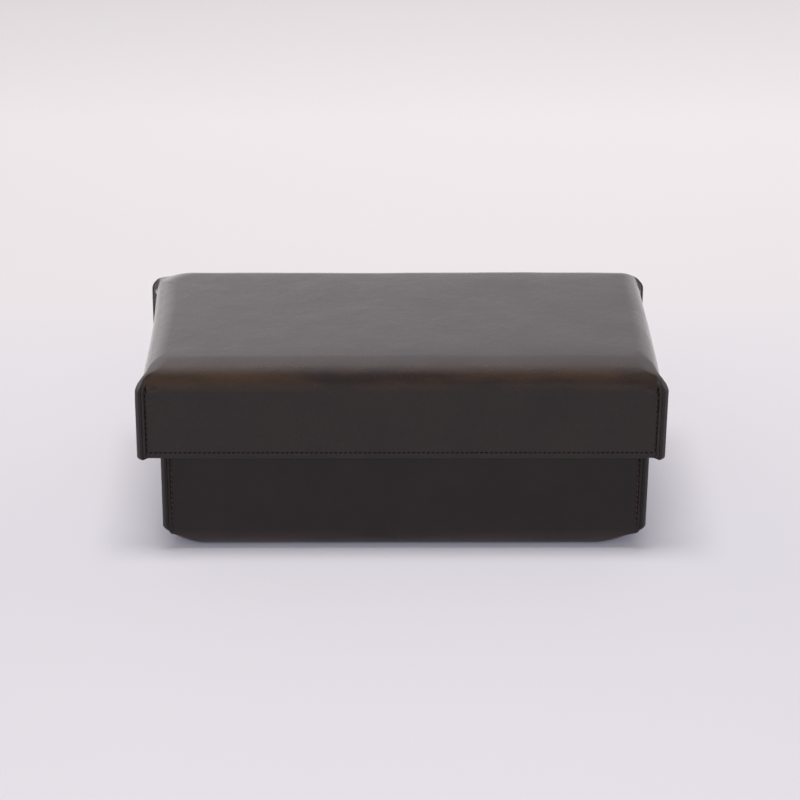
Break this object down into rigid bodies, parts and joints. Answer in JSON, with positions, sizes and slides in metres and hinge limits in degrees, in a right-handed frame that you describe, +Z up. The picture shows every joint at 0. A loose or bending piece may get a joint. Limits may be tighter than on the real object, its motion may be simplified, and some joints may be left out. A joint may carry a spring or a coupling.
{
  "type": "stationery box",
  "caption": "Rectangular dark leather box with soft bends, pinched and stitched corners, and a deep lift-off lid that leaves the lower half of the base showing.",
  "frame": {"origin": "centre of the base's flat underside, on the surface the box stands on", "axes": "+Z up, +X along the box's length to the right as seen from the front, -Y towards the front"},
  "size_m": [0.3042, 0.1524, 0.1245],
  "materials": {
    "leather": "smooth waxed, satin",
    "board": "matt",
    "lining": "suede, matt"
  },
  "bodies": {
    "base": {"base_shell": "leather", "base_floor_board": "board", "base_front_board": "board", "base_back_board": "board", "base_left_board": "board", "base_right_board": "board", "base_lining": "lining"},
    "lid": {"lid_shell": "leather", "lid_top_board": "board", "lid_front_board": "board", "lid_back_board": "board", "lid_left_board": "board", "lid_right_board": "board", "lid_lining": "lining"}
  },
  "joints": [
    {"name": "lid_lift", "type": "slide", "parent": "base", "child": "lid", "axis": [0, 0, 1], "range_m": [0, 0.12]}
  ]
}
